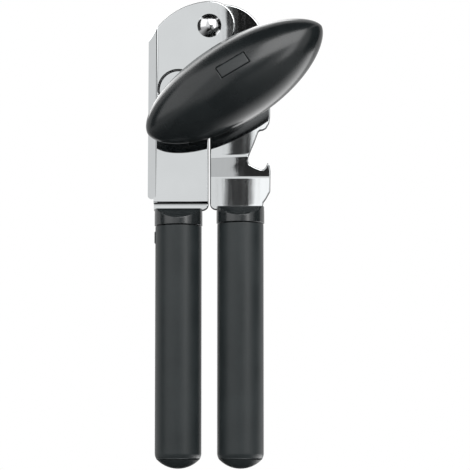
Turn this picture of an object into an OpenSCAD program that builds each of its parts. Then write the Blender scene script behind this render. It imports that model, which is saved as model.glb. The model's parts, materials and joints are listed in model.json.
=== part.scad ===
// Manual can opener: two levers on one pivot, a geared cutting wheel and a knob-driven feed wheel.
// Frame: the origin lies on the path of the can's rim between the wheels, level with the cutter's axle.
// +X is to the right seen from the knob's side, +Y points at the can, +Z points up to the pivot.

/* [Grips] */
// Diameter of each round grip
grip_d = 17.8; // [16.8:0.2:18.4]
// Distance between the two grip axes
grip_pitch = 23.8; // [23:0.1:24.4]
// Height of the grips' lowest point, below the nip
grip_bottom_z = -145.5; // [-150:0.5:-136]
// Radius of the domed grip end
grip_dome_r = 11.2; // [10.4:0.2:13]
// Height of the left collar's top, below the nip
left_collar_top_z = -46; // [-46.4:0.1:-45.8]
// How much higher the right collar stands than the left one
right_collar_lift = 0.9; // [0:0.1:1]
// Height of a collar
collar_h = 6.5; // [6:0.1:7]

/* [Levers] */
// Thickness of the sheet that both levers are pressed from
sheet_t = 1.8; // [1.6:0.1:1.8]
// Width of the flat front of the left lever, from its bend line to its free edge
left_plate_w = 20.1; // [19.6:0.1:20.3]
// Right edge of the right lever
right_edge_x = 23.4; // [23:0.1:24]
// Width of the tang that each grip holds
tang_w = 11; // [9:0.5:12]
// Length of the tang inside its grip
tang_l = 58; // [40:1:62]

/* [Pivot] */
// Height of the pivot rivet above the wheels
pivot_z = 25; // [24.6:0.1:25.4]
// Radius of the pivot rivet's shank
pivot_r = 3; // [2.5:0.1:3.2]
// Radius of the pivot rivet's domed head
pivot_head_r = 4.65; // [4.2:0.05:5]

/* [Wheels] */
// Radius of the cutting wheel at its sharp edge
cutter_r = 11.75; // [11.5:0.05:11.8]
// Radius of the feed wheel over its teeth
feed_r = 10.8; // [10.5:0.05:10.9]
// Number of teeth on the feed wheel
feed_teeth = 30; // [24:1:36]
// Number of teeth on each of the two gears
gear_teeth = 16; // [14:2:18]
// Distance between the wheel axes
wheel_pitch = 22; // [21.9:0.05:22.2]
// Height of a gear's tooth above its pitch circle
gear_addendum = 0.9; // [0.7:0.05:1]

/* [Knob] */
// Length of the knob
knob_l = 78; // [68:0.5:79]
// Width of the knob
knob_w = 30.5; // [27:0.5:32]
// Extra swell of the knob on its lower side
knob_belly = 1.1; // [0:0.1:1.4]
// Height of the knob's outermost point above the left lever
knob_top = 27; // [24:0.5:30]
// Angle of the knob's long axis above the horizontal, as it is parked
knob_angle = 32; // [0:0.5:180]

/* [Hidden] */

steel = [0.80, 0.81, 0.82];
dark_steel = [0.55, 0.56, 0.58];
grip_black = [0.10, 0.11, 0.11];
hard_black = [0.05, 0.05, 0.06];
core_grey = [0.35, 0.35, 0.36];

run_gap = 0.05;      // radial clearance of a running fit
seat_gap = 0.02;     // clearance between parts of one body that are pressed together
end_gap = 0.2;       // axial clearance of a turning part

// Stack of depths from the nip plane, y = 0, forwards to the knob
cutter_y = 0.15;
cutter_t = 1.4;
feed_y = -3.35;
feed_t = 3.2;
gear_y = -5.75;
gear_t = 2.2;
right_back_y = -8.75;
right_front_y = right_back_y - sheet_t;
lever_gap = 0.1;
left_back_y = right_front_y - lever_gap;
left_front_y = left_back_y - sheet_t;
grip_y = right_back_y;

// The feed wheel sits a little higher than the cutting wheel
cutter_x = -11.9;
spindle_z = 1.5;
mesh_tilt = asin(spindle_z / wheel_pitch);
spindle_x = cutter_x + wheel_pitch * cos(mesh_tilt);
grip_x = grip_pitch / 2;
grip_r = grip_d / 2;

// Left lever, seen from the front
bend_x = -20.4;
left_edge_x = bend_x + left_plate_w;
flange_x = -23.9;
flange_end_z = -41.9;
flange_depth = 5.2;
flange_y = left_front_y + flange_depth;
step_z = -43.8;
shoulder_z = -46.7;
arc_c = [1.15, 7.45];
arc_r = 27.3;
head_c = [0.5, pivot_z + 0.3];
head_r = arc_r - norm(head_c - arc_c);
head_fillet = 3;
dimple_r = 7.7;
dimple_d = 0.9;

// Right lever, seen from the front
right_inner_x = 0.2;
right_head_c = [5.3, 17.5];
right_head_r = 16.1;
right_shoulder_z = -46.4;
corner_r = 2.4;
crease_low_z = -33.8;
crease_high_z = -25.6;

axle_r = 3;
journal_r = 3.5;
hex_r = 2.9;
hex_l = 14;

collar_r = grip_r + 0.3;
bore_r = 6.5;
facet_y = 3.5;
shoulder_slot = 1.6; // depth of the slot that takes a lever's shoulder
seam = 0.3; // open groove between a collar and its sleeve
facet_drop = 3.8;
grip_floor = 6;
pad_z = -57;
pad_w = 2.4;
pad_h = 4.4;
pad_rise = 0.35;

// Draws a flat shape given in X and Z as a slab between two depths
module slab(y0, y1) {
    translate([0, y1, 0]) rotate([90, 0, 0]) linear_extrude(y1 - y0) children();
}

// A round bar along Y
module bar(x, z, r, y0, y1) {
    translate([x, y1, z]) rotate([90, 0, 0]) cylinder(r = r, h = y1 - y0, $fn = 96);
}

// Points along an arc about c, from angle a0 to angle a1
function arc(c, r, a0, a1, n) = [for (i = [0:n]) let (a = a0 + (a1 - a0) * i / n) c + r * [cos(a), sin(a)]];

// Angle of the line from point p to point q
function heading(p, q) = atan2(q[1] - p[1], q[0] - p[0]);

// ---- Left lever ----

// Outline of the front plate and its flange: the head runs tangent into the long arc over the shoulder
module left_outline() {
    fillet_x = left_edge_x + head_fillet;
    reach = head_r + head_fillet;
    fillet_c = [fillet_x, head_c[1] - sqrt(pow(reach, 2) - pow(fillet_x - head_c[0], 2))];
    fillet_end = heading(fillet_c, head_c);
    crown = heading(arc_c, head_c);
    bend_a = acos((bend_x - 1.6 - arc_c[0]) / arc_r);
    polygon(concat(
        [[bend_x - 1, step_z], [left_edge_x, step_z]],
        arc(fillet_c, head_fillet, 180, fillet_end, 8),
        arc(head_c, head_r, fillet_end - 180, crown, 40),
        arc(arc_c, arc_r, crown, bend_a, 16),
        [[flange_x, 19.8]],
        arc([flange_x + 1.5, flange_end_z + 1.5], 1.5, 180, 270, 6),
        [[bend_x - 1, flange_end_z]]
    ));
}

// Section of the flat front and its slanted flange, in X and Y
module left_section() {
    run = norm([flange_x - bend_x, flange_depth]);
    n = [flange_depth, bend_x - flange_x] / run * sheet_t;
    inner = [bend_x + tan(0.5 * atan2(flange_depth, bend_x - flange_x)) * sheet_t, left_back_y];
    polygon([
        [bend_x, left_front_y], [head_c[0] + head_r + 1, left_front_y],
        [head_c[0] + head_r + 1, left_back_y], inner,
        [flange_x + n[0], flange_y + n[1]], [flange_x, flange_y]
    ]);
}

// Section of the step from the front plate back to the tang, in Y and Z
module left_step_section() {
    t = sheet_t / 2;
    polygon([
        [grip_y - t, left_collar_top_z - tang_l], [grip_y - t, step_z - 0.3],
        [left_front_y, step_z], [left_front_y, step_z + 2],
        [left_back_y, step_z + 2], [left_back_y, step_z + 1.8],
        [grip_y + t, step_z + 1.5], [grip_y + t, left_collar_top_z - tang_l]
    ]);
}

module extrude_along_x(x0, x1) {
    translate([x0, 0, 0]) rotate([90, 0, 90]) linear_extrude(x1 - x0) children();
}

module left_lower_outline() {
    tab_x = bend_x - 1;
    tang_z = left_collar_top_z - tang_l;
    polygon(concat(
        [[tab_x, step_z + 4], [tab_x, shoulder_z], [-grip_x - tang_w / 2, shoulder_z]],
        [[-grip_x - tang_w / 2, tang_z], [-grip_x + tang_w / 2, tang_z], [-grip_x + tang_w / 2, shoulder_z]],
        arc([left_edge_x - corner_r, shoulder_z + corner_r], corner_r, 270, 360, 10),
        [[left_edge_x, step_z + 4]]
    ));
}

module left_lever() {
    color(steel) difference() {
        union() {
            intersection() {
                translate([0, 0, step_z]) linear_extrude(80) left_section();
                slab(left_front_y - 5, 0) left_outline();
            }
            intersection() {
                extrude_along_x(-30, 10) left_step_section();
                slab(grip_y - 10, grip_y + 10) left_lower_outline();
            }
            bar(cutter_x, 0, dimple_r - 0.3, left_back_y - 0.5, left_back_y + dimple_d);
        }
        bar(cutter_x, 0, dimple_r, left_front_y - 1, left_front_y + dimple_d);
        bar(cutter_x, 0, axle_r, left_front_y - 1, right_back_y);
        bar(0, pivot_z, pivot_r, left_front_y - 1, left_back_y + 1);
    }
}

// ---- Right lever ----

// Edge of the notch that lifts a crown cap: an upturned tooth, a deep throat and a lip above it
cap_notch = [
    [right_edge_x + 0.1, -31.3], [23.2, -29.3], [22.3, -28.0], [22.1, -28.9], [21.6, -29.9],
    [20.7, -30.8], [19.6, -30.7], [17.3, -29.8], [15.3, -28.7], [14.9, -27.5], [15, -26.1],
    [15.9, -23.8], [17.2, -20.7], [18.8, -16.4], [19.5, -15.8], [20.6, -15.7], [21.9, -15],
    [23, -13], [right_edge_x, -10.3]
];

module right_outline() {
    edge_top = [right_edge_x, 3];
    to_edge = edge_top - right_head_c;
    edge_a = heading([0, 0], to_edge) + acos(right_head_r / norm(to_edge));
    eye_c = [0, pivot_z];
    eye_r = right_head_r - norm(eye_c - right_head_c);
    crown = heading(right_head_c, eye_c);
    inner_a = 200;
    inner = eye_c + eye_r * [cos(inner_a), sin(inner_a)];
    tang_z = left_collar_top_z - tang_l;
    polygon(concat(
        arc([right_inner_x + corner_r, right_shoulder_z + corner_r], corner_r, 180, 270, 10),
        [[grip_x - tang_w / 2, right_shoulder_z], [grip_x - tang_w / 2, tang_z]],
        [[grip_x + tang_w / 2, tang_z], [grip_x + tang_w / 2, right_shoulder_z], [20.6, right_shoulder_z]],
        [[20.6, -44.7], [20.8, -43.6], [21.8, -42.3], [22.7, -40.6], [right_edge_x, -39.3]],
        cap_notch,
        [edge_top],
        arc(right_head_c, right_head_r, edge_a, crown, 40),
        arc(eye_c, eye_r, crown, inner_a, 20),
        [[right_inner_x, inner[1] - (right_inner_x - inner[0]) / tan(inner_a)]]
    ));
}

// Section of the shallow joggle that brings the plate forwards of the tang, in Y and Z
module right_section() {
    t = sheet_t / 2;
    polygon([
        [grip_y - t, left_collar_top_z - tang_l], [grip_y - t, crease_low_z],
        [right_front_y, crease_high_z], [right_front_y, 45], [right_back_y, 45],
        [right_back_y, crease_high_z], [grip_y + t, crease_low_z],
        [grip_y + t, left_collar_top_z - tang_l]
    ]);
}

module right_lever() {
    color(steel) difference() {
        intersection() {
            extrude_along_x(-12, 30) right_section();
            slab(grip_y - 10, grip_y + 10) right_outline();
        }
        bar(spindle_x, spindle_z, 5.5, right_front_y - 1, right_back_y + 1);
        bar(0, pivot_z, pivot_r + run_gap, right_front_y - 1, right_back_y + 1);
    }
}

// ---- Pivot and wheel axle ----

// A domed rivet head of radius r and height h, its flat side at depth y, pointing along dir
module dome(x, z, r, h, y, dir) {
    sphere_r = (r * r + h * h) / (2 * h);
    intersection() {
        translate([x, y + dir * (h - sphere_r), z]) sphere(r = sphere_r, $fn = 96);
        bar(x, z, r, min(y, y + dir * h), max(y, y + dir * h));
    }
}

module pivot_rivet() {
    color(steel) {
        dome(0, pivot_z, pivot_head_r, 2.2, left_front_y, -1);
        bar(0, pivot_z, pivot_r, left_front_y, right_back_y + 0.9);
        dome(0, pivot_z, 4.6, 1.4, right_back_y + 0.9, 1);
    }
}

module pivot_washer() {
    color(steel) difference() {
        bar(0, pivot_z, 6, right_back_y + 0.1, right_back_y + 0.9);
        bar(0, pivot_z, pivot_r, right_back_y, right_back_y + 1);
    }
}

module cutter_axle() {
    color(steel) {
        bar(cutter_x, 0, 3.4, left_front_y + dimple_d - 0.35, left_front_y + dimple_d);
        bar(cutter_x, 0, axle_r, left_front_y + dimple_d - 0.1, cutter_y + cutter_t + 0.1);
        dome(cutter_x, 0, 5, 1.5, cutter_y + cutter_t + 0.1, 1);
    }
}

module cutter_standoff() {
    color(dark_steel) difference() {
        bar(cutter_x, 0, 6.5, left_back_y + dimple_d, gear_y - end_gap / 2);
        bar(cutter_x, 0, axle_r, left_back_y, gear_y + 1);
    }
}

// ---- Grips: one module for each piece, used for both sides ----

// The hard collar at a grip's top, with a sloping face in front and behind and a slot for the tang
module collar(side, top_z) {
    t = sheet_t / 2 + seat_gap;
    slope = atan2(facet_drop, grip_r - facet_y);
    color(hard_black) translate([side * grip_x, grip_y, top_z]) difference() {
        translate([0, 0, -collar_h]) cylinder(r = collar_r, h = collar_h, $fn = 96);
        for (turn = [0, 180]) rotate([0, 0, turn])
            translate([-grip_d, facet_y, 0]) rotate([-slope, 0, 0]) cube([2 * grip_d, grip_d, grip_d]);
        translate([-grip_d, -t, -shoulder_slot]) cube([2 * grip_d, 2 * t, 2 * shoulder_slot]);
        translate([-tang_w / 2 - seat_gap, -t, -collar_h - 1]) cube([tang_w + 2 * seat_gap, 2 * t, 10]);
    }
}

// The hard core that the tang is driven into
module core(side, top_z) {
    t = sheet_t / 2 + seat_gap;
    core_top = top_z - collar_h - seat_gap;
    floor_z = grip_bottom_z + grip_floor + seat_gap;
    color(core_grey) translate([side * grip_x, grip_y, 0]) difference() {
        translate([0, 0, floor_z]) cylinder(r = bore_r - seat_gap, h = core_top - floor_z, $fn = 72);
        translate([-tang_w / 2 - seat_gap, -t, left_collar_top_z - tang_l - 1])
            cube([tang_w + 2 * seat_gap, 2 * t, tang_l + 10]);
    }
}

// The soft sleeve with its domed end
module grip(side, top_z) {
    sleeve_top = top_z - collar_h - seam;
    color(grip_black) translate([side * grip_x, grip_y, 0]) difference() {
        union() {
            translate([0, 0, grip_bottom_z + 5])
                cylinder(r = grip_r, h = sleeve_top - grip_bottom_z - 5, $fn = 96);
            intersection() {
                translate([0, 0, grip_bottom_z]) cylinder(r = grip_r, h = 6, $fn = 96);
                translate([0, 0, grip_bottom_z + grip_dome_r]) sphere(r = grip_dome_r, $fn = 120);
            }
        }
        translate([0, 0, grip_bottom_z + grip_floor]) cylinder(r = bore_r, h = 200, $fn = 72);
    }
}

// The small blank pad moulded on the outer side of the left sleeve
module grip_pad() {
    color(grip_black) translate([-grip_x, grip_y, pad_z]) intersection() {
        translate([-grip_r - pad_rise - 1, -pad_w / 2, -pad_h / 2]) cube([grip_r, pad_w, pad_h]);
        difference() {
            cylinder(r = grip_r + pad_rise, h = pad_h, center = true, $fn = 96);
            cylinder(r = grip_r - 0.4, h = pad_h + 1, center = true, $fn = 96);
        }
    }
}

module left_collar() { collar(-1, left_collar_top_z); }
module right_collar() { collar(1, left_collar_top_z + right_collar_lift); }
module left_core() { core(-1, left_collar_top_z); }
module right_core() { core(1, left_collar_top_z + right_collar_lift); }
module left_grip() { grip(-1, left_collar_top_z); grip_pad(); }
module right_grip() { grip(1, left_collar_top_z + right_collar_lift); }

// ---- Spindle, its bushing and washers ----

bush_front_y = left_front_y + 0.5;
bush_back_y = gear_y - end_gap;
stem_y = bush_front_y - 1.85;

module spindle_bushing() {
    color(dark_steel) difference() {
        union() {
            bar(spindle_x, spindle_z, 8, bush_front_y, right_front_y);
            bar(spindle_x, spindle_z, 5.5, right_front_y - 0.1, right_back_y + 0.1);
            bar(spindle_x, spindle_z, 7.2, right_back_y, bush_back_y);
        }
        bar(spindle_x, spindle_z, journal_r + run_gap, bush_front_y - 1, bush_back_y + 1);
    }
}

module spindle() {
    color(dark_steel) {
        bar(spindle_x, spindle_z, journal_r, bush_front_y - 0.6, feed_y + feed_t);
        translate([spindle_x, bush_front_y - 0.5, spindle_z]) rotate([90, 0, 0]) rotate([0, 0, knob_angle])
            cylinder(r = hex_r, h = hex_l, $fn = 6);
        dome(spindle_x, spindle_z, 4.6, 0.9, feed_y + feed_t, 1);
    }
}

// A shallow cone that keeps the knob from rattling
module spring_washer() {
    color(steel) translate([spindle_x, bush_front_y - 0.15, spindle_z]) rotate([90, 0, 0])
        rotate_extrude($fn = 96)
            polygon([[3.8, 0], [4.2, 0], [7, 0.65], [7, 1.05], [6.6, 1.05], [3.8, 0.4]]);
}

module spindle_washer() {
    color(steel) difference() {
        bar(spindle_x, spindle_z, 7.6, stem_y + 0.05, bush_front_y - 1.25);
        bar(spindle_x, spindle_z, 3.6, stem_y - 1, bush_front_y);
    }
}

// ---- Gears and wheels ----

function inv(a) = tan(a) - a * PI / 180;

// Half the angle that an involute tooth spans at radius r
function tooth_half_angle(r, pitch_r, base_r, half) =
    half + (inv(20) - inv(acos(min(1, base_r / max(r, base_r))))) * 180 / PI;

// One gear's outline: for each tooth, its root, both involute flanks and its tip
function gear_points(n, pitch_r, add, ded, phase) =
    let (
        base_r = pitch_r * cos(20),
        half = 0.46 * 180 / n,
        radii = [pitch_r - ded, base_r, pitch_r, pitch_r + add * 0.55, pitch_r + add]
    )
    [for (i = [0:n - 1], flank = [-1, 1], k = [0:4])
        let (
            r = flank < 0 ? radii[k] : radii[4 - k],
            a = 360 / n * i + phase + flank * tooth_half_angle(r, pitch_r, base_r, half)
        ) [r * cos(a), r * sin(a)]];

module gear(x, z, phase, bore) {
    pitch_r = wheel_pitch / 2;
    color(dark_steel) difference() {
        slab(gear_y, gear_y + gear_t) translate([x, z])
            polygon(gear_points(gear_teeth, pitch_r, gear_addendum, gear_addendum + 0.3, phase));
        bar(x, z, bore, gear_y - 1, gear_y + gear_t + 1);
    }
}

module drive_gear() { gear(spindle_x, spindle_z, mesh_tilt + 180 / gear_teeth, journal_r + seat_gap); }
module driven_gear() { gear(cutter_x, 0, mesh_tilt, axle_r + run_gap); }

// Saw-cut teeth that grip under the can's rim
module feed_wheel() {
    step = 360 / feed_teeth;
    color(dark_steel) difference() {
        slab(feed_y, feed_y + feed_t) translate([spindle_x, spindle_z]) polygon([
            for (i = [0:feed_teeth - 1], k = [0:3])
                let (
                    r = k < 2 ? feed_r : feed_r - 1,
                    a = step * (i + [-0.12, 0.12, 0.42, 0.58][k])
                ) [r * cos(a), r * sin(a)]
        ]);
        bar(spindle_x, spindle_z, journal_r + seat_gap, feed_y - 1, feed_y + feed_t + 1);
    }
}

module cutter_hub() {
    color(dark_steel) difference() {
        bar(cutter_x, 0, 6, gear_y + gear_t, cutter_y);
        bar(cutter_x, 0, axle_r + run_gap, gear_y, cutter_y + 1);
    }
}

// A hardened disc, ground to an edge from its outer side
module cutting_wheel() {
    color(steel) translate([cutter_x, cutter_y, 0]) rotate([-90, 0, 0]) rotate_extrude($fn = 144)
        polygon([
            [axle_r + run_gap, 0], [cutter_r - 0.25, 0], [cutter_r, 0.18], [cutter_r - 0.35, 0.4],
            [cutter_r - 2.6, cutter_t], [axle_r + run_gap, cutter_t]
        ]);
}

// ---- Knob ----

knob_mid = 12.5;                       // height of the knob's widest section above the left lever
knob_under = 7.6;                      // depth of the knob below that section
ring_n = 28;
along_n = 30;

// Plan and side profiles of the knob, for t from -1 to 1 along its length
function plan(t) = pow(1 - pow(abs(t), 2), t < 0 ? 0.56 : 0.62);
function side(t) = pow(1 - pow(abs(t), 2.1), 0.5);

// Ring k of the knob's skin, moved inwards by the given shrink
function knob_ring(t, shrink) = [
    for (j = [0:ring_n - 1])
        let (
            a = 360 * j / ring_n,
            half_w = knob_w / 2 - shrink,
            up = knob_top - knob_mid - shrink,
            down = knob_under - shrink
        ) [
            (knob_l / 2 - shrink) * t,
            (half_w + (cos(a) < 0 ? knob_belly : 0)) * plan(t) * cos(a),
            knob_mid + t * t + (sin(a) > 0 ? up : down) * side(t) * sin(a)
        ]
];

// The knob's solid body, its long axis along X and its outer face towards +Z
module knob_body(shrink) {
    stations = [for (i = [1:along_n - 1]) -cos(180 * i / along_n)];
    rings = [for (t = stations) each knob_ring(t, shrink)];
    tip = knob_l / 2 - shrink;
    points = concat([[-tip, 0, knob_mid + 1]], rings, [[tip, 0, knob_mid + 1]]);
    last = len(points) - 1;
    count = len(stations);
    faces = concat(
        [for (j = [0:ring_n - 1]) [0, 1 + j, 1 + (j + 1) % ring_n]],
        [for (i = [0:count - 2], j = [0:ring_n - 1])
            [1 + i * ring_n + j, 1 + (i + 1) * ring_n + j, 1 + (i + 1) * ring_n + (j + 1) % ring_n]],
        [for (i = [0:count - 2], j = [0:ring_n - 1])
            [1 + i * ring_n + j, 1 + (i + 1) * ring_n + (j + 1) % ring_n, 1 + i * ring_n + (j + 1) % ring_n]],
        [for (j = [0:ring_n - 1]) [last, last - ring_n + (j + 1) % ring_n, last - ring_n + j]]
    );
    polyhedron(points, faces, convexity = 4);
}

// Turns the knob's own frame to its parked place in front of the levers
module on_spindle() {
    translate([spindle_x, left_front_y, spindle_z]) rotate([90, 0, 0]) rotate([0, 0, knob_angle]) children();
}

stem_r = 8.2;
skin_t = 2.2;
badge_l = 12;
badge_w = 4.4;
badge_u = 1.4;
badge_v = 3.4;
badge_turn = -1;
badge_sink = 0.3;
badge_floor = 1;
badge_gap = 0.15;

module badge_box(grow) {
    translate([badge_u, badge_v, 0]) rotate([0, 0, badge_turn])
        translate([-badge_l / 2 - grow, -badge_w / 2 - grow, knob_mid])
        cube([badge_l + 2 * grow, badge_w + 2 * grow, 30]);
}

module knob_core() {
    stem_w = left_front_y - stem_y;
    color(hard_black) on_spindle() difference() {
        union() {
            knob_body(skin_t + seat_gap);
            translate([0, 0, stem_w]) cylinder(r = stem_r, h = knob_mid - stem_w, $fn = 72);
        }
        translate([0, 0, stem_w - 3]) cylinder(r = hex_r + seat_gap, h = hex_l + 2.5, $fn = 6);
    }
}

module knob_cover() {
    color(hard_black) on_spindle() difference() {
        knob_body(0);
        knob_body(skin_t);
        translate([0, 0, -5]) cylinder(r = stem_r + seat_gap, h = knob_mid + 4, $fn = 72);
        difference() {
            badge_box(badge_gap);
            knob_body(badge_floor);
        }
    }
}

module knob_badge() {
    color(grip_black) on_spindle() intersection() {
        difference() {
            knob_body(badge_sink);
            knob_body(badge_floor - seat_gap);
        }
        badge_box(0);
    }
}

left_lever();
pivot_rivet();
pivot_washer();
cutter_axle();
cutter_standoff();
left_core();
left_collar();
left_grip();
right_lever();
spindle_bushing();
right_core();
right_collar();
right_grip();
spindle();
drive_gear();
feed_wheel();
spindle_washer();
spring_washer();
knob_core();
knob_cover();
knob_badge();
driven_gear();
cutter_hub();
cutting_wheel();
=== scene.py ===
import json
import math

import bmesh
import bpy
from mathutils import Matrix, Vector


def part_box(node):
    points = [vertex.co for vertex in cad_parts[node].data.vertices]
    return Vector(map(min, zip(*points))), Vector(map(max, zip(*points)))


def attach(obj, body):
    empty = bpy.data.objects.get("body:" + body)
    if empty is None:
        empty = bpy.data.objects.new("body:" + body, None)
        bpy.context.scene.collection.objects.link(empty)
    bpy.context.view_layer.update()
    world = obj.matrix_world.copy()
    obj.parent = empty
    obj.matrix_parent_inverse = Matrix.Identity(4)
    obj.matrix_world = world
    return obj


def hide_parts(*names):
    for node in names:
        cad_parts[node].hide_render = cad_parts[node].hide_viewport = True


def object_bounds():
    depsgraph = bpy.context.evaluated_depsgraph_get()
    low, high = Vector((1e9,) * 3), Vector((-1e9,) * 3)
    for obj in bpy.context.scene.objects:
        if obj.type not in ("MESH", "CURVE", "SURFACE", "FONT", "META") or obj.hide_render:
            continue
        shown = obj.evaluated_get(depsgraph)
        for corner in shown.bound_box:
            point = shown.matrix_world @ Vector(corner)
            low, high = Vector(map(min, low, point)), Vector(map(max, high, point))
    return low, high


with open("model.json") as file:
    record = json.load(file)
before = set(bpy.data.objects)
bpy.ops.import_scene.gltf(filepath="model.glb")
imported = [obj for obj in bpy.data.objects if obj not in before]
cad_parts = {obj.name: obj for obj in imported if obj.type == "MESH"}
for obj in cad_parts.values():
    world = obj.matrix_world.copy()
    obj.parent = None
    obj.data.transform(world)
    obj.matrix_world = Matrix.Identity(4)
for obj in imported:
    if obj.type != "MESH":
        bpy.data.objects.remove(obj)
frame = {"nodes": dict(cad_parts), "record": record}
CAD_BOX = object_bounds()
MM = 0.001

# ---------------------------------------------------------------------------
# Places and sizes, all taken from the frame
# ---------------------------------------------------------------------------

KNOB_FRONT_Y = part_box("knob_cover")[0].y
SPINDLE_LOW, SPINDLE_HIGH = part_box("spindle")
SPINDLE = (SPINDLE_LOW + SPINDLE_HIGH) / 2


# ---------------------------------------------------------------------------
# Node helpers
# ---------------------------------------------------------------------------

def new_material(name):
    """A material with its Principled shader and an Object coordinate to build on."""
    material = bpy.data.materials.new(name)
    material.use_nodes = True
    nodes = material.node_tree.nodes
    nodes.clear()
    output = nodes.new("ShaderNodeOutputMaterial")
    shader = nodes.new("ShaderNodeBsdfPrincipled")
    place = nodes.new("ShaderNodeTexCoord")
    material.node_tree.links.new(shader.outputs["BSDF"], output.inputs["Surface"])
    return material, shader, place.outputs["Object"]


def link(material, source, target):
    material.node_tree.links.new(source, target)


def calculate(material, operation, *values):
    """One sum, product or other plain operation on numbers or outputs."""
    node = material.node_tree.nodes.new("ShaderNodeMath")
    node.operation = operation
    for socket, value in zip(node.inputs, values):
        if isinstance(value, (int, float)):
            socket.default_value = value
        else:
            link(material, value, socket)
    return node.outputs[0]


def noise(material, vector, scale, detail=2.0, stretch=(1, 1, 1), roughness=0.5):
    """Noise over the piece, stretched along its axes by the given scale factors."""
    nodes = material.node_tree.nodes
    mapping = nodes.new("ShaderNodeMapping")
    mapping.inputs["Scale"].default_value = stretch
    texture = nodes.new("ShaderNodeTexNoise")
    texture.inputs["Scale"].default_value = scale
    texture.inputs["Detail"].default_value = detail
    texture.inputs["Roughness"].default_value = roughness
    link(material, vector, mapping.inputs["Vector"])
    link(material, mapping.outputs["Vector"], texture.inputs["Vector"])
    return texture.outputs["Fac"]


def ramp(material, value, low, high, low_out, high_out):
    """Maps value from low..high to low_out..high_out, which are numbers or colours."""
    nodes = material.node_tree.nodes
    if isinstance(low_out, (int, float)):
        node = nodes.new("ShaderNodeMapRange")
        for key, number in zip(("From Min", "From Max", "To Min", "To Max"), (low, high, low_out, high_out)):
            node.inputs[key].default_value = number
        link(material, value, node.inputs["Value"])
        return node.outputs["Result"]
    node = nodes.new("ShaderNodeValToRGB")
    for stop, place, colour in zip(node.color_ramp.elements, (low, high), (low_out, high_out)):
        stop.position = place
        stop.color = (*colour, 1.0)
    link(material, value, node.inputs["Fac"])
    return node.outputs["Color"]


def split(material, vector):
    """The X, Y and Z outputs of a vector."""
    node = material.node_tree.nodes.new("ShaderNodeSeparateXYZ")
    link(material, vector, node.inputs[0])
    return node.outputs["X"], node.outputs["Y"], node.outputs["Z"]


def bump(material, shader, height, strength, distance):
    node = material.node_tree.nodes.new("ShaderNodeBump")
    node.inputs["Strength"].default_value = strength
    node.inputs["Distance"].default_value = distance
    link(material, height, node.inputs["Height"])
    link(material, node.outputs["Normal"], shader.inputs["Normal"])


# ---------------------------------------------------------------------------
# Materials
# ---------------------------------------------------------------------------

# Nearly black: the colour of the painted shade on the sheet's edges.
EDGE_SHADE_TINT = (0.07, 0.075, 0.078, 1)


def edge_shade_mask(material, place, beyond_x):
    """1 where the surface turns away from the sheet's two faces, right of a place in X, and 0 elsewhere:
    where the edges get painted shade.
    """
    facing_y = split(material, place.node.outputs["Normal"])[1]
    turned = ramp(material, calculate(material, "ABSOLUTE", facing_y), 0.955, 0.86, 0.0, 1.0)
    right = ramp(material, split(material, place)[0], beyond_x, beyond_x + 0.1 * MM, 0.0, 1.0)
    return calculate(material, "MULTIPLY", turned, right)


def polished_steel(name, tint, rough_low, rough_high, wave, edges_beyond_x=None):
    """Mirror-polished sheet: faint long grain, cloudy marks and slow waviness. Its edges right of a given X
    get painted shade: they are coloured nearly black and keep the faces' gloss.
    """
    material, shader, place = new_material(name)
    shader.inputs["Metallic"].default_value = 1.0
    cloud = noise(material, place, 90, 3)
    grain = noise(material, place, 900, 4, (1, 1, 0.04))
    dim = [c * 0.97 for c in tint]
    link(material, ramp(material, cloud, 0.3, 0.7, dim, tint), shader.inputs["Base Color"])
    link(material, ramp(material, grain, 0.3, 0.7, rough_low, rough_high), shader.inputs["Roughness"])
    bump(material, shader, noise(material, place, 60, 1), 0.15, wave)
    if edges_beyond_x is not None:
        # Painted shade: the edges are coloured nearly black, however light falls on them.
        painted_edge_shade = edge_shade_mask(material, place, edges_beyond_x)
        mix = material.node_tree.nodes.new("ShaderNodeMix")
        mix.data_type = "RGBA"
        link(material, painted_edge_shade, mix.inputs["Factor"])
        link(material, shader.inputs["Base Color"].links[0].from_socket, mix.inputs[6])
        mix.inputs[7].default_value = EDGE_SHADE_TINT
        link(material, mix.outputs[2], shader.inputs["Base Color"])
    return material


def machined_steel(name, tint, roughness):
    """Turned or cut steel: fine tool marks and small darker patches."""
    material, shader, place = new_material(name)
    shader.inputs["Metallic"].default_value = 1.0
    patch = noise(material, place, 260, 4)
    marks = noise(material, place, 1800, 3, (1, 0.15, 1))
    dark = [c * 0.9 for c in tint]
    cut = ramp(material, marks, 0.3, 0.7, roughness * 0.8, roughness * 1.3)
    link(material, ramp(material, patch, 0.35, 0.7, dark, tint), shader.inputs["Base Color"])
    link(material, cut, shader.inputs["Roughness"])
    bump(material, shader, marks, 0.08, 0.00001)
    return material


def moulded_black(name, tint, roughness, grain_size, grain_depth, sheen=0.5):
    """Moulded plastic or rubber: fine pebble grain, faint blooming and softly varied sheen."""
    material, shader, place = new_material(name)
    shader.inputs["Specular IOR Level"].default_value = sheen
    bloom = noise(material, place, 70, 4)
    grain = noise(material, place, 1 / grain_size, 2)
    pale = [c * 1.25 + 0.002 for c in tint]
    link(material, ramp(material, bloom, 0.35, 0.7, tint, pale), shader.inputs["Base Color"])
    dulled = ramp(material, bloom, 0.3, 0.7, roughness * 0.92, roughness * 1.1)
    link(material, dulled, shader.inputs["Roughness"])
    bump(material, shader, grain, 0.25, grain_depth)
    return material


LEVER_TINT = (0.80, 0.825, 0.835)
GRIP_TINT = (0.0165, 0.0215, 0.0228)
COLLAR_TINT = (0.0125, 0.0155, 0.0165)
KNOB_TINT = (0.0098, 0.0122, 0.0130)
BADGE_TINT = (0.0145, 0.0178, 0.0188)
FLANGE_BEND_X = -20 * MM

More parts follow.
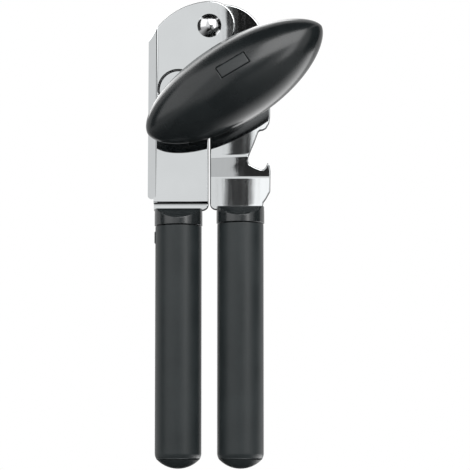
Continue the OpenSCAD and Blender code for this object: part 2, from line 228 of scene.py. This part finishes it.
FINISHES = {
    "lever_steel": polished_steel("Polished lever steel", LEVER_TINT, 0.02, 0.05, 0.00001, FLANGE_BEND_X),
    "rivet_steel": polished_steel("Polished rivet steel", (0.80, 0.81, 0.82), 0.13, 0.19, 0.000005),
    "gear_steel": machined_steel("Machined gear steel", (0.50, 0.51, 0.52), 0.34),
    "wheel_steel": machined_steel("Ground wheel steel", (0.66, 0.67, 0.69), 0.24),
    "grip_rubber": moulded_black("Soft grip rubber", GRIP_TINT, 0.40, 0.0004, 0.00002),
    "collar_plastic": moulded_black("Hard collar plastic", COLLAR_TINT, 0.24, 0.0006, 0.000006, 0.85),
    "knob_plastic": moulded_black("Glossy knob plastic", KNOB_TINT, 0.21, 0.0012, 0.000002),
    "badge_plastic": moulded_black("Satin badge plastic", BADGE_TINT, 0.36, 0.0004, 0.000004),
    "core_plastic": moulded_black("Plain core plastic", (0.08, 0.08, 0.08), 0.55, 0.0006, 0.00002),
}
SLOTS = {entry["node"]: entry["material_slot"] for entry in frame["record"]["subparts"]}
BODIES = {node: body for body, nodes in frame["record"]["behaviour"]["bodies"].items() for node in nodes}


def dress(piece, slot):
    piece.data.materials.clear()
    piece.data.materials.append(FINISHES[slot])


for node, slot in SLOTS.items():
    dress(frame["nodes"][node], slot)


# ---------------------------------------------------------------------------
# Pieces that stand for plainer CAD nodes
# ---------------------------------------------------------------------------

def add_piece(name, shape, node, *also):
    """Turns a bmesh into a piece that stands for a node, with that node's body and finish."""
    mesh = bpy.data.meshes.new(name)
    shape.to_mesh(mesh)
    shape.free()
    for face in mesh.polygons:
        face.use_smooth = True
    item = bpy.data.objects.new(name, mesh)
    bpy.context.scene.collection.objects.link(item)
    dress(item, SLOTS[node])
    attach(item, BODIES[node])
    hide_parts(node, *also)
    return item


def merged_copy(node):
    """The node's mesh with its loose triangles joined and its flat faces made whole."""
    shape = bmesh.new()
    shape.from_mesh(frame["nodes"][node].data)
    bmesh.ops.remove_doubles(shape, verts=shape.verts, dist=0.002 * MM)
    bmesh.ops.dissolve_limit(shape, angle_limit=math.radians(0.6), verts=shape.verts, edges=shape.edges)
    return shape


UPPER_CREASE_Z = -30 * MM
STEP_TOP_Z = -40 * MM
FLANGE_X = -19.6 * MM
FLANGE_FOOT_LOW, FLANGE_FOOT_HIGH = -46 * MM, -39 * MM
FLANGE_FOOT_EDGE = 6 * MM
LOWER_CREASE_ROUND, UPPER_CREASE_ROUND = 0.6 * MM, 1.1 * MM
CREASE_FACE_AREA = 20 * MM * MM
DOME_Z = -138 * MM
DOME_ROUND = 1.3 * MM
SHARP = 28
SMALL = ("drive_gear", "driven_gear", "feed_wheel", "cutter_hub", "spindle_bushing", "cutter_standoff")


def kept_crisp(node, edge):
    """The left lever's step and the foot of its flange are too tight for rounding."""
    if node != "left_lever":
        return False
    middle = (edge.verts[0].co + edge.verts[1].co) / 2
    inside_step = not edge.is_convex and middle.z < STEP_TOP_Z
    at_foot = middle.x < FLANGE_X and FLANGE_FOOT_LOW < middle.z < FLANGE_FOOT_HIGH
    return inside_step or (at_foot and edge.calc_length() < FLANGE_FOOT_EDGE)


def is_crease(node, edge):
    """The right lever's shallow bends between its broad faces."""
    if node != "right_lever" or len(edge.link_faces) != 2:
        return False
    shallow = 5 < math.degrees(edge.calc_face_angle()) < SHARP
    return shallow and min(f.calc_area() for f in edge.link_faces) > CREASE_FACE_AREA


def round_edges(shape, edges, width, segments, clamp):
    bmesh.ops.bevel(
        shape, geom=edges, offset=width, offset_type="OFFSET", affect="EDGES",
        segments=segments, profile=0.5, material=-1, clamp_overlap=clamp,
    )


def softened(name, node, width):
    """A node with its crisp edges rounded, as tumbling or moulding leaves them."""
    shape = merged_copy(node)
    creases = [e for e in shape.edges if is_crease(node, e)]
    upper = [e for e in creases if e.verts[0].co.z > UPPER_CREASE_Z]
    lower = [e for e in creases if e not in upper]
    round_edges(shape, lower, LOWER_CREASE_ROUND, 4, False)
    round_edges(shape, upper, UPPER_CREASE_ROUND, 4, False)
    crisp = [
        e for e in shape.edges
        if len(e.link_faces) == 2 and e.calc_face_angle() > math.radians(SHARP) and not kept_crisp(node, e)
    ]
    domed = [e for e in crisp if e.verts[0].co.z < DOME_Z]
    other = [e for e in crisp if e not in domed]
    for edges, wide in ((domed, DOME_ROUND), (other, width)):
        round_edges(shape, [e for e in edges if e.is_valid], wide, 3, node in SMALL)
    finish_shading(add_piece(name, shape, node))


def finish_shading(item):
    """Smooth shading weighted by face size, which keeps big faces flat."""
    weighted = item.modifiers.new("Even shading", "WEIGHTED_NORMAL")
    weighted.keep_sharp = True
    for edge in item.data.edges:
        edge.use_edge_sharp = False


EDGES = {
    "left_lever": 0.52,
    "right_lever": 0.48,
    "left_collar": 0.18,
    "right_collar": 0.18,
    "left_grip": 0.22,
    "right_grip": 0.22,
    "pivot_washer": 0.12,
    "cutter_standoff": 0.15,
    "spindle_bushing": 0.15,
    "cutter_hub": 0.12,
    "drive_gear": 0.10,
    "driven_gear": 0.10,
    "feed_wheel": 0.10,
}
for node, width in EDGES.items():
    softened(node + "_edged", node, width * MM)


# ---- Knob ----

def knob_frame():
    """The parked knob's own axes and half sizes, read from its cover."""
    points = [v.co for v in frame["nodes"]["knob_cover"].data.vertices]
    flat = [Vector((p.x - SPINDLE.x, 0, p.z - SPINDLE.z)) for p in points]
    tip = max((f for f in flat if f.x > 0), key=lambda f: f.length)
    along = tip.normalized()
    across = Vector((-along.z, 0, along.x))
    reach = [f.dot(across) for f in flat]
    return along, across, tip.length, max(reach), -min(reach), points[reach.index(max(reach))].y


KNOB_ALONG, KNOB_ACROSS, KNOB_HALF_L, KNOB_UPPER_W, KNOB_LOWER_W, KNOB_MID_Y = knob_frame()
KNOB_OUT = KNOB_MID_Y - KNOB_FRONT_Y
KNOB_IN = 7.6 * MM
KNOB_CENTRE = Vector((SPINDLE.x, KNOB_MID_Y, SPINDLE.z))


def knob_plan(t):
    """Share of the full width left at a place along the knob, -1 and 1 being its tips."""
    return (1 - t * t) ** (0.56 if t < 0 else 0.62)


def knob_side(t):
    return math.sqrt(max(0.0, 1 - abs(t) ** 2.1))


def knob_point(direction, shrink):
    """Moves a point of the unit sphere, its poles at the knob's tips, on to the knob's skin."""
    t = max(-1.0, min(1.0, direction.z))
    turn = math.atan2(direction.y, direction.x)
    width = (KNOB_UPPER_W if math.cos(turn) > 0 else KNOB_LOWER_W) - shrink
    depth = (KNOB_OUT if math.sin(turn) > 0 else KNOB_IN) - shrink
    out = depth * knob_side(t) * math.sin(turn) + t * t * MM
    across = width * knob_plan(t) * math.cos(turn)
    return KNOB_CENTRE + KNOB_ALONG * (KNOB_HALF_L - shrink) * t + KNOB_ACROSS * across - Vector((0, out, 0))


def knob_front(along, across, sink):
    """The point of the knob's front skin over a place in its own plane, sunk by a little."""
    t = along / KNOB_HALF_L
    share = across / ((KNOB_UPPER_W if across > 0 else KNOB_LOWER_W) * knob_plan(t))
    out = KNOB_OUT * knob_side(t) * math.sqrt(1 - share * share) + t * t * MM - sink
    return KNOB_CENTRE + KNOB_ALONG * along + KNOB_ACROSS * across - Vector((0, out, 0))


def knob_shape(shrink, around, along):
    shape = bmesh.new()
    bmesh.ops.create_uvsphere(shape, u_segments=around, v_segments=along, radius=1)
    for vertex in shape.verts:
        vertex.co = knob_point(vertex.co, shrink)
    bmesh.ops.recalc_face_normals(shape, faces=shape.faces)
    return shape


BADGE_ALONG, BADGE_ACROSS = 1.4 * MM, 3.4 * MM
BADGE_TURN = math.radians(-1)
BADGE_HALF_L, BADGE_HALF_W = 6.0 * MM, 2.2 * MM
BADGE_SINK = 0.12 * MM
BADGE_THICK = 0.5 * MM
BADGE_RIM_DROP = 0.06 * MM
BADGE_STEPS_U, BADGE_STEPS_V = 36, 16
RECESS_GAP = 0.14 * MM
RECESS_WALL = 0.10 * MM
RECESS_DEPTH = 0.55 * MM
RECESS_REGION = 11 * MM


def badge_to_knob(u, v):
    """Turns a place on the badge into a place in the knob's own plane."""
    return (
        BADGE_ALONG + u * math.cos(BADGE_TURN) - v * math.sin(BADGE_TURN),
        BADGE_ACROSS + u * math.sin(BADGE_TURN) + v * math.cos(BADGE_TURN),
    )


def badge_place(point):
    """The place on the badge under a point of the knob's front."""
    along = (point - KNOB_CENTRE).dot(KNOB_ALONG) - BADGE_ALONG
    across = (point - KNOB_CENTRE).dot(KNOB_ACROSS) - BADGE_ACROSS
    return (
        along * math.cos(BADGE_TURN) + across * math.sin(BADGE_TURN),
        -along * math.sin(BADGE_TURN) + across * math.cos(BADGE_TURN),
    )


def cut_border(shape, margin, centre):
    """Cuts a rectangle, the badge's outline grown by a margin, into the knob's skin."""
    turned_u = KNOB_ALONG * math.cos(BADGE_TURN) + KNOB_ACROSS * math.sin(BADGE_TURN)
    turned_v = KNOB_ACROSS * math.cos(BADGE_TURN) - KNOB_ALONG * math.sin(BADGE_TURN)
    reach_u, reach_v = BADGE_HALF_L + margin, BADGE_HALF_W + margin
    sides = ((turned_u, reach_u), (-turned_u, reach_u), (turned_v, reach_v), (-turned_v, reach_v))
    for normal, reach in sides:
        near = [f for f in shape.faces if (f.calc_center_median() - centre).length < RECESS_REGION]
        parts = set(near) | {e for f in near for e in f.edges} | {v for f in near for v in f.verts}
        side = centre + normal * reach
        bmesh.ops.bisect_plane(shape, geom=list(parts), dist=1e-7, plane_co=side, plane_no=normal)


def sink_recess(shape):
    """Makes the badge's recess: its border is cut in twice, then its floor is lowered."""
    centre = knob_front(*badge_to_knob(0, 0), 0)
    cut_border(shape, RECESS_GAP + RECESS_WALL, centre)
    cut_border(shape, RECESS_GAP, centre)
    slack = 0.01 * MM
    reach_u, reach_v = BADGE_HALF_L + RECESS_GAP + slack, BADGE_HALF_W + RECESS_GAP + slack
    for vertex in shape.verts:
        u, v = badge_place(vertex.co)
        if vertex.co.y < KNOB_MID_Y and abs(u) < reach_u and abs(v) < reach_v:
            vertex.co.y += RECESS_DEPTH


def badge_shape():
    """A thin plate that follows the knob's skin, its rim a little lower."""
    shape = bmesh.new()
    bmesh.ops.create_grid(shape, x_segments=BADGE_STEPS_U, y_segments=BADGE_STEPS_V, size=1)
    bmesh.ops.solidify(shape, geom=list(shape.faces), thickness=1.0)
    for vertex in shape.verts:
        back = abs(vertex.co.z) > 0.5
        rim = max(abs(vertex.co.x), abs(vertex.co.y)) > 0.999
        drop = BADGE_THICK if back else (BADGE_RIM_DROP if rim else 0.0)
        place = badge_to_knob(vertex.co.x * BADGE_HALF_L, vertex.co.y * BADGE_HALF_W)
        vertex.co = knob_front(*place, BADGE_SINK + drop)
    bmesh.ops.recalc_face_normals(shape, faces=shape.faces)
    return shape


skin = knob_shape(0, 160, 120)
sink_recess(skin)
add_piece("knob_skin", skin, "knob_cover")
add_piece("knob_badge_plate", badge_shape(), "knob_badge")


# ---------------------------------------------------------------------------
# Floor, lights and camera
# ---------------------------------------------------------------------------

def glow_material(name, strength):
    """White light of the given strength; zero gives a black card."""
    material = bpy.data.materials.new(name)
    material.use_nodes = True
    nodes = material.node_tree.nodes
    nodes.clear()
    output = nodes.new("ShaderNodeOutputMaterial")
    glow = nodes.new("ShaderNodeEmission")
    glow.inputs["Color"].default_value = (1, 1, 1, 1)
    glow.inputs["Strength"].default_value = strength
    link(material, glow.outputs["Emission"], output.inputs["Surface"])
    return material


def floor_material():
    """A pale floor with painted reflections: glossy rays see it black near the object, paler at the sides,
    and glowing in a bright pool at the right, though it is no lamp.
    """
    material, shader, place = new_material("Pale floor with painted reflections")
    tone = ramp(material, noise(material, place, 3, 2), 0.3, 0.7, (0.86, 0.86, 0.86), (0.9, 0.9, 0.9))
    link(material, tone, shader.inputs["Base Color"])
    shader.inputs["Roughness"].default_value = 0.9
    nodes = material.node_tree.nodes
    x, y, _ = split(material, place)
    # Painted reflection: for glossy rays the floor glows paler at the sides and brightly in a pool at the
    # right, and is black elsewhere.
    sides = ramp(material, calculate(material, "ABSOLUTE", x), 0.14, 0.5, 0.0, 0.45)
    right = ramp(material, x, 0.08, 0.18, 0.0, 1.0)
    rising = ramp(material, y, -0.12, 0.20, 0.0, 4.0)
    fading = ramp(material, y, 0.42, 0.56, 4.0, 0.5)
    painted_pool = calculate(material, "MULTIPLY", calculate(material, "MINIMUM", rising, fading), right)
    painted_reflection = nodes.new("ShaderNodeEmission")
    link(material, calculate(material, "ADD", sides, painted_pool), painted_reflection.inputs["Strength"])
    seen = nodes.new("ShaderNodeLightPath")
    # Glossy rays see the painted reflection near the object, and farther back on the right; the camera and
    # diffuse rays see the pale floor.
    behind = calculate(material, "MULTIPLY", ramp(material, y, 1.6, 1.2, 0.0, 1.0), right)
    near = calculate(material, "MAXIMUM", ramp(material, y, 0.36, 0.26, 0.0, 1.0), behind)
    mix = nodes.new("ShaderNodeMixShader")
    link(material, calculate(material, "MULTIPLY", near, seen.outputs["Is Glossy Ray"]), mix.inputs[0])
    link(material, shader.outputs[0], mix.inputs[1])
    link(material, painted_reflection.outputs[0], mix.inputs[2])
    link(material, mix.outputs[0], nodes["Material Output"].inputs["Surface"])
    return material


def panel(name, place, facing, width, height, material):
    """A flat rectangle centred on place, its front turned towards facing."""
    shape = bmesh.new()
    bmesh.ops.create_grid(shape, x_segments=1, y_segments=1, size=0.5)
    turn = (Vector(facing) - Vector(place)).to_track_quat("Z", "Y").to_matrix().to_4x4()
    stretch = Matrix.Diagonal((width, height, 1, 1))
    bmesh.ops.transform(shape, matrix=Matrix.Translation(place) @ turn @ stretch, verts=shape.verts)
    mesh = bpy.data.meshes.new(name)
    shape.to_mesh(mesh)
    shape.free()
    mesh.materials.append(material)
    item = bpy.data.objects.new(name, mesh)
    bpy.context.scene.collection.objects.link(item)
    return item


def hidden_panel(name, place, facing, width, height, strength):
    """A card at a given place, hidden from the camera."""
    item = panel(name, place, facing, width, height, glow_material(name, strength))
    item.visible_camera = False


def card(name, azimuth, elevation, distance, width, height, strength):
    """A card round the object, hidden from the camera. Azimuth 0 is the knob's side, 90 the right."""
    side, rise = math.radians(azimuth), math.radians(elevation)
    out = Vector((math.sin(side) * math.cos(rise), -math.cos(side) * math.cos(rise), math.sin(rise)))
    hidden_panel(name, SPINDLE + out * distance, SPINDLE, width, height, strength)


FLOOR_DROP = 0.12
FLOOR_SIZE = 6

panel("Floor", (0, 0, CAD_BOX[0].z - FLOOR_DROP), (0, 0, 10), FLOOR_SIZE, FLOOR_SIZE, floor_material())


def studio_world(seen, lit):
    """White behind the object, a little dimmer as a light and in reflections."""
    world = bpy.data.worlds.new("Studio")
    bpy.context.scene.world = world
    world.use_nodes = True
    nodes = world.node_tree.nodes
    path = nodes.new("ShaderNodeLightPath")
    level = nodes.new("ShaderNodeMapRange")
    level.inputs["To Min"].default_value = lit
    level.inputs["To Max"].default_value = seen
    world.node_tree.links.new(path.outputs["Is Camera Ray"], level.inputs["Value"])
    world.node_tree.links.new(level.outputs["Result"], nodes["Background"].inputs["Strength"])
    nodes["Background"].inputs["Color"].default_value = (1, 1, 1, 1)


studio_world(1.0, 0.8)
card("Softbox right", 23, 33, 0.8, 0.60, 0.54, 4.4)
card("Dark side left", -82, 0, 0.9, 0.40, 1.7, 0.0)
card("Grey side left", -114, 0, 0.9, 0.62, 1.7, 0.70)
card("Dark side right", 88, 12, 0.9, 0.75, 1.25, 0.0)
card("Strip right", 38, 3, 0.8, 0.16, 0.28, 3.2)
card("Softbox left", -48, 27, 0.9, 0.75, 0.86, 1.4)
card("Lamp above left", -152, 36, 0.40, 0.34, 0.30, 3.5)
card("Black ceiling", 0, 82, 0.9, 1.3, 0.8, 0.0)
FRONT_Y = -0.61


def front_panel(name, x_from, x_to, z_from, z_to, strength):
    """An upright card in front of the object, its edges given in mm."""
    place = Vector(((x_from + x_to) / 2, 0, (z_from + z_to) / 2)) * MM
    hidden_panel(name, (place.x, FRONT_Y, place.z), (place.x, 0, place.z),
                 (x_to - x_from) * MM, (z_to - z_from) * MM, strength)


front_panel("Dark upright", -7.3, 10.0, 20, 105, 0.04)
front_panel("Dark head card", -5.5, 22, 105, 185, 0.012)
front_panel("Bright upright", 10.5, 30, 0, 100, 1.15)
front_panel("Dark wall right", 30, 240, -62, 125, 0.03)
front_panel("Dark stand", -1.3, 90, -150, -62, 0.026)
front_panel("Grey stand", -90, -1.3, -150, -62, 0.56)
front_panel("Grey rail", -90, 90, -62, -48, 0.42)

# Camera: low, looking slightly upwards, with the object's plates square to it
LENS = 200
SENSOR = 36
DISTANCE = 1.0
PITCH = math.radians(-6)
SWING = math.radians(1)
AIM = Vector((9.89 * MM, -12.45 * MM, -56.38 * MM))

camera_data = bpy.data.cameras.new("Camera")
camera_data.lens = LENS
camera_data.sensor_width = SENSOR
camera = bpy.data.objects.new("Camera", camera_data)
bpy.context.scene.collection.objects.link(camera)
away = Vector((math.sin(SWING) * math.cos(PITCH), -math.cos(SWING) * math.cos(PITCH), math.sin(PITCH)))
camera.location = AIM + away * DISTANCE
camera.rotation_mode = "QUATERNION"
camera.rotation_quaternion = (-away).to_track_quat("-Z", "Y")
camera_data.clip_start, camera_data.clip_end = 0.05, 20
bpy.context.scene.camera = camera
bpy.context.scene.view_settings.view_transform = "Standard"
